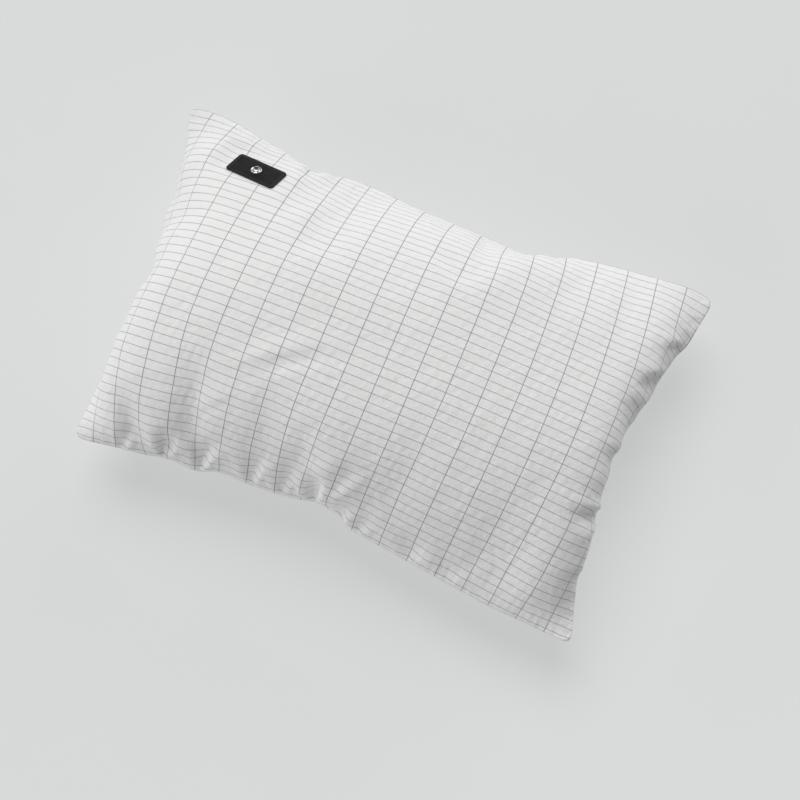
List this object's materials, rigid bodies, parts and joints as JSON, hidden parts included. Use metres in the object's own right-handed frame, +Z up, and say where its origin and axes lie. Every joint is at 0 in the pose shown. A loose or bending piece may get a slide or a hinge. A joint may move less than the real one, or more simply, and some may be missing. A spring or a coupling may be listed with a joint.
{
  "type": "camp pillow",
  "caption": "Rectangular filled pillow in a zipped woven cover, with a rubber contact patch and a metal press stud near one corner.",
  "frame": {"origin": "centre of the footprint on the surface the pillow rests on", "axes": "+X along the long side away from the patch, +Y across towards the patch's long edge, +Z up through the front panel"},
  "size_m": [0.6, 0.4, 0.183],
  "materials": {
    "cover_cloth": "woven cotton with a fine grey grid",
    "white_thread": "matte sewing thread",
    "black_thread": "matte sewing thread",
    "backing_cloth": "plain interlining",
    "patch_rubber": "smooth moulded rubber",
    "stud_metal": "bright nickel plate",
    "washer_plastic": "clear-white moulded plastic",
    "zip_tape": "woven tape",
    "zip_coil": "nylon coil",
    "slider_metal": "tumbled nickel plate",
    "ticking": "plain cotton ticking",
    "fibre_fill": "loose polyester fibre"
  },
  "bodies": {
    "pillow": {"cover_front_panel": "cover_cloth", "cover_back_main_panel": "cover_cloth", "cover_back_zip_strip": "cover_cloth", "cover_seam_overlock": "white_thread", "contact_patch": "patch_rubber", "contact_patch_stitching": "black_thread", "contact_patch_backing": "backing_cloth", "snap_stud": "stud_metal", "snap_rivet_post": "stud_metal", "snap_backing_washer": "washer_plastic", "zip_tape_main": "zip_tape", "zip_tape_strip": "zip_tape", "zip_coil_main": "zip_coil", "zip_coil_strip": "zip_coil", "zip_topstitch_main": "white_thread", "zip_topstitch_strip": "white_thread", "zip_top_stops": "slider_metal", "zip_bottom_stop": "slider_metal", "zip_bar_tacks": "white_thread", "insert_front_ticking": "ticking", "insert_back_ticking": "ticking", "insert_seam_thread": "white_thread", "insert_fill": "fibre_fill"},
    "zip_slider": {"zip_slider_body": "slider_metal"},
    "zip_pull": {"zip_pull_tab": "slider_metal"}
  },
  "joints": [
    {"name": "zip_slide", "type": "slide", "parent": "pillow", "child": "zip_slider", "axis": [-1, 0, 0], "range_m": [0, 0.328]},
    {"name": "zip_pull_swing", "type": "hinge", "parent": "zip_slider", "child": "zip_pull", "pos_m": [0.1644, -0.13235, 0.02526], "axis": [0, -0.809, 0.5878], "range_deg": [-85, 85]}
  ]
}
